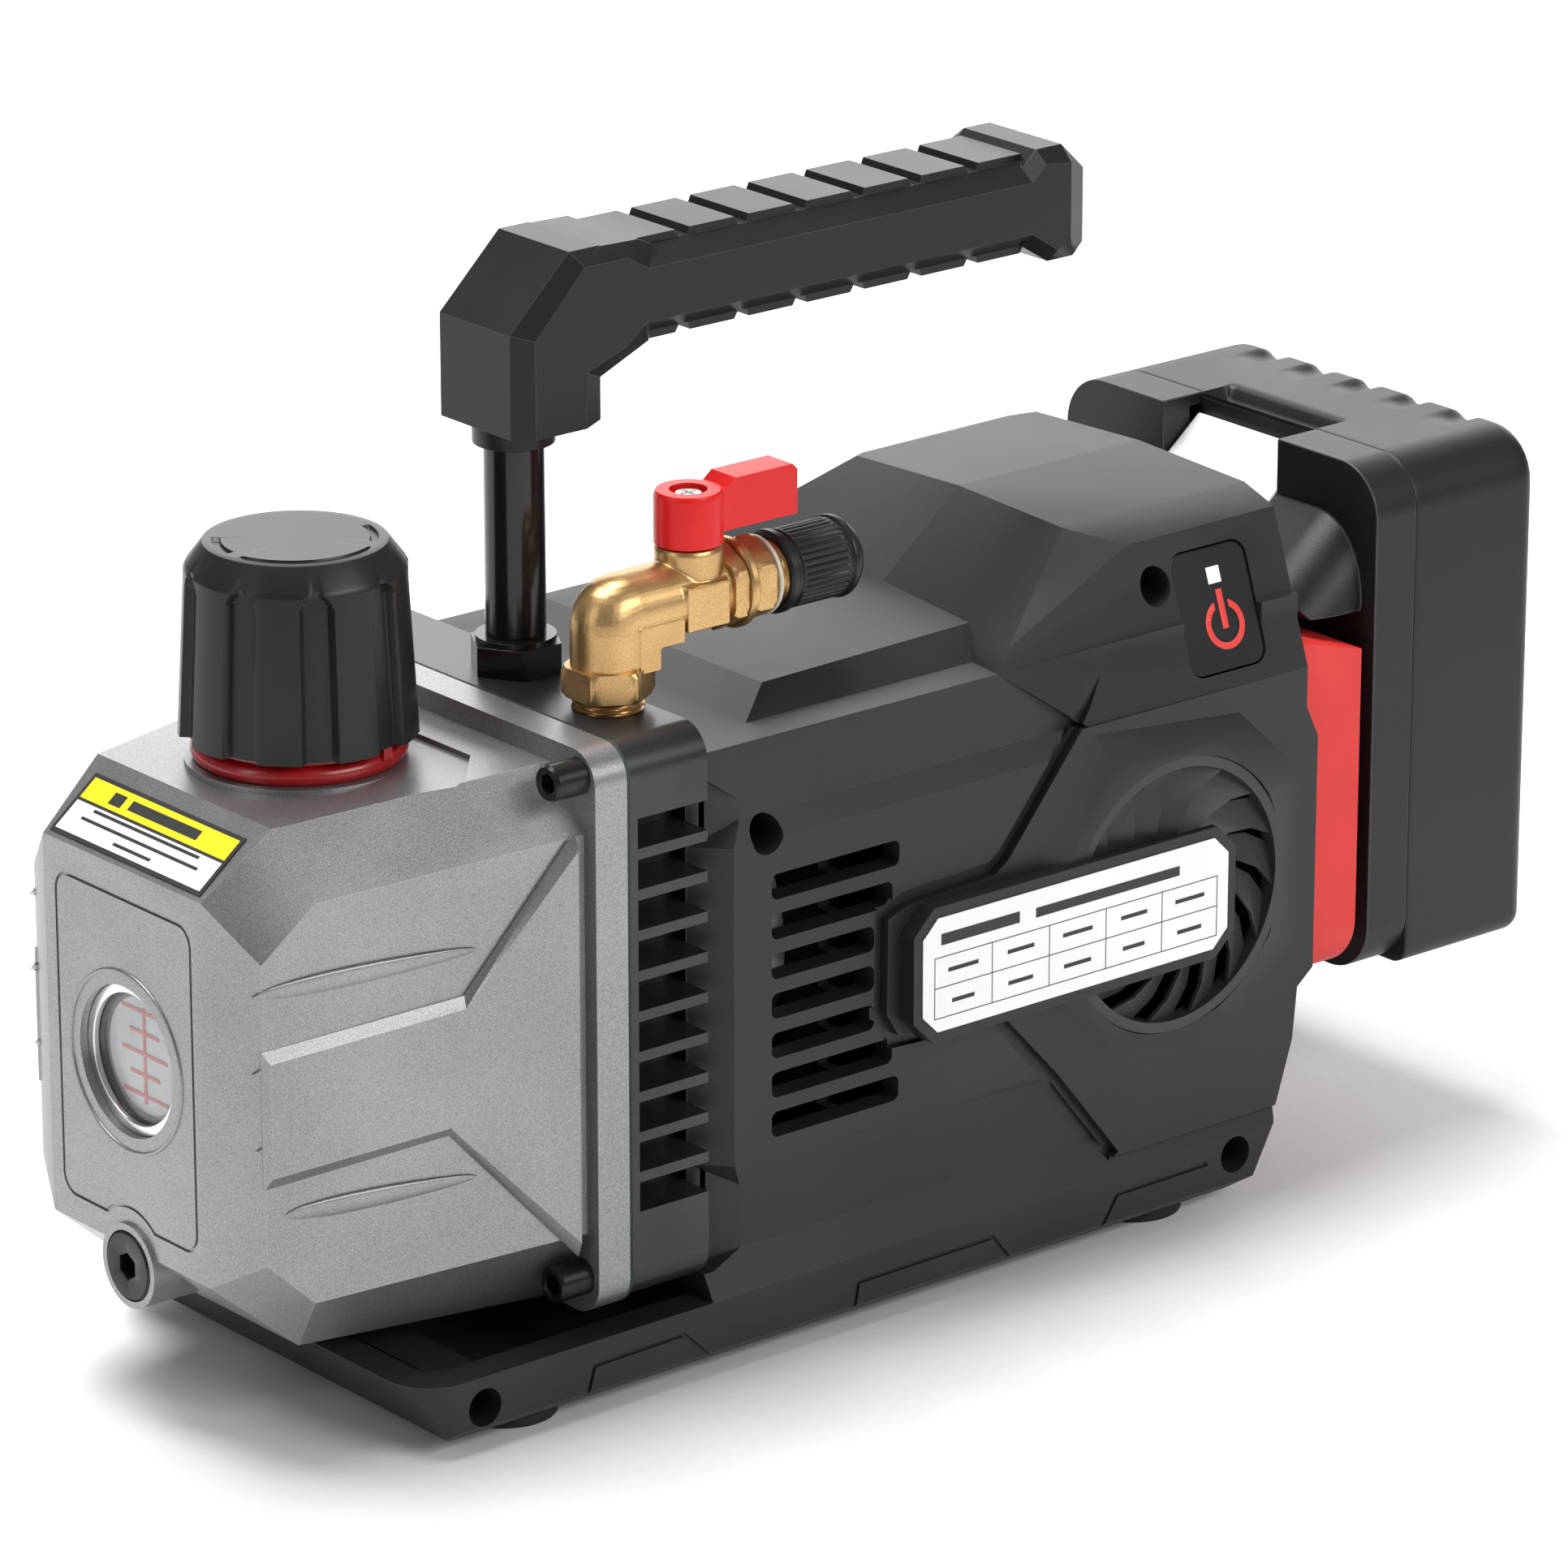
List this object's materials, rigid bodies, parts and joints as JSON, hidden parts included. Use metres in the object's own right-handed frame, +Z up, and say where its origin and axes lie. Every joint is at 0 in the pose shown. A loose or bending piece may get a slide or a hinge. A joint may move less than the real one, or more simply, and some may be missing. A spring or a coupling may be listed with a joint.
{
  "type": "rotary vane vacuum pump",
  "caption": "Cordless rotary vane vacuum pump with a cast oil tank, carrying handle, ball-valve inlet, cooled housing and slide-on battery.",
  "frame": {"origin": "on the ground under the centre of the bounding box", "axes": "+X from the oil tank towards the battery, +Y across the pump, +Z up"},
  "size_m": [0.3834, 0.1323, 0.2568],
  "materials": {
    "housing_plastic": "fine matt grain",
    "grille_plastic": "satin",
    "fastener_black": "black oxide",
    "foot_rubber": "matt",
    "label_white": "smooth",
    "label_yellow": "smooth",
    "button_plastic": "satin",
    "icon_red": "printed",
    "light_white": "lit",
    "board_green": "solder mask",
    "cast_metal": "speckled grey coat on a casting",
    "gasket": "matt",
    "clear_glass": "polished",
    "bright_steel": "bright",
    "seal_rubber": "matt",
    "gauge_white": "smooth",
    "knob_plastic": "satin",
    "ring_red": "satin",
    "filter_felt": "felt",
    "block_black": "satin black coat",
    "post_black": "gloss black",
    "grip_plastic": "satin",
    "brass": "satin",
    "lever_red": "gloss coat",
    "machined_steel": "machined",
    "vane_resin": "resin",
    "motor_steel": "plated",
    "winding_copper": "enamelled wire",
    "dock_red": "fine matt grain",
    "battery_black": "fine matt grain",
    "washer_nylon": "translucent",
    "latch_white": "smooth",
    "cell_wrap": "shrink wrap"
  },
  "bodies": {
    "pump": {"housing_right": "housing_plastic", "housing_left": "housing_plastic", "housing_screws": "fastener_black", "feet": "foot_rubber", "fan_grille_right": "grille_plastic", "fan_grille_left": "grille_plastic", "rating_label": "label_white", "caution_label": "label_yellow", "button_switch": "button_plastic", "control_board": "board_green", "oil_tank": "cast_metal", "tank_gasket": "gasket", "tank_screws": "fastener_black", "sight_glass": "clear_glass", "sight_ring": "bright_steel", "sight_oring": "seal_rubber", "level_plate": "gauge_white", "level_marks": "icon_red", "pump_block": "block_black", "handle_nut": "post_black", "handle_post": "post_black", "post_collar": "knob_plastic", "handle_grip": "grip_plastic", "inlet_elbow": "brass", "valve_body": "brass", "port_fitting": "brass", "port_washer": "washer_nylon", "stator_first": "machined_steel", "stator_second": "machined_steel", "middle_plate": "machined_steel", "end_plate": "machined_steel", "oil_seal": "seal_rubber", "reed_valve": "bright_steel", "motor_can": "motor_steel", "motor_stator": "winding_copper", "motor_bearings": "bright_steel", "battery_dock": "dock_red", "dock_terminals": "brass"},
    "drive_shaft": {"pump_shaft": "machined_steel", "rotor_vanes": "vane_resin", "motor_rotor": "motor_steel", "cooling_fan": "grille_plastic"},
    "inlet_lever": {"valve_ball": "bright_steel", "valve_stem": "brass", "valve_lever": "lever_red", "lever_screw": "bright_steel"},
    "exhaust_ring": {"cap_ring": "ring_red"},
    "exhaust_knob": {"exhaust_cap": "knob_plastic", "exhaust_filter": "filter_felt"},
    "drain_seal": {"drain_oring": "seal_rubber"},
    "drain_screw": {"drain_plug": "fastener_black"},
    "port_seal": {"port_cap_seal": "seal_rubber"},
    "port_cover": {"port_cap": "knob_plastic"},
    "button": {"power_button": "button_plastic", "power_icon": "icon_red", "status_light": "light_white"},
    "battery": {"battery_front": "battery_black", "battery_rear": "battery_black", "battery_cells": "cell_wrap"},
    "latch": {"battery_latch": "latch_white"}
  },
  "joints": [
    {"name": "shaft_spin", "type": "hinge", "parent": "pump", "child": "drive_shaft", "pos_m": [-0.0793, 0, 0.088], "axis": [1, 0, 0], "continuous": true},
    {"name": "valve_turn", "type": "hinge", "parent": "pump", "child": "inlet_lever", "pos_m": [-0.0566, -0.0346, 0.179], "axis": [0, 0, 1], "range_deg": [-90, 0]},
    {"name": "cap_lift", "type": "slide", "parent": "pump", "child": "exhaust_ring", "axis": [0, 0, 1], "range_m": [0, 0.01501]},
    {"name": "cap_turn", "type": "hinge", "parent": "exhaust_ring", "child": "exhaust_knob", "pos_m": [-0.1408, 0, 0.156], "axis": [0, 0, 1], "range_deg": [0, 1800]},
    {"name": "drain_out", "type": "slide", "parent": "pump", "child": "drain_seal", "axis": [-1, 0, 0], "range_m": [0, 0.01501]},
    {"name": "drain_turn", "type": "hinge", "parent": "drain_seal", "child": "drain_screw", "pos_m": [-0.1893, 0, 0.039], "axis": [-1, 0, 0], "range_deg": [0, 4320]},
    {"name": "port_cap_out", "type": "slide", "parent": "pump", "child": "port_seal", "axis": [1, 0, 0], "range_m": [0, 0.01412]},
    {"name": "port_cap_turn", "type": "hinge", "parent": "port_seal", "child": "port_cover", "pos_m": [-0.0193, -0.0346, 0.179], "axis": [1, 0, 0], "range_deg": [0, 3600]},
    {"name": "button_press", "type": "slide", "parent": "pump", "child": "button", "axis": [0, 0.9432, -0.3322], "range_m": [0, 0.0008], "stiffness_N_per_m": 800, "springref_m": -0.0005},
    {"name": "battery_slide", "type": "slide", "parent": "pump", "child": "battery", "axis": [0, 0, 1], "range_m": [0, 0.08]},
    {"name": "latch_press", "type": "slide", "parent": "battery", "child": "latch", "axis": [-0.7748, 0, -0.6322], "range_m": [0, 0.003], "stiffness_N_per_m": 500, "springref_m": -0.002}
  ],
  "couplings": [
    {"joint": "cap_lift", "follows": "cap_turn", "m_per_rad": 0.00047746},
    {"joint": "drain_out", "follows": "drain_turn", "m_per_rad": 0.00019894},
    {"joint": "port_cap_out", "follows": "port_cap_turn", "m_per_rad": 0.00022458}
  ]
}
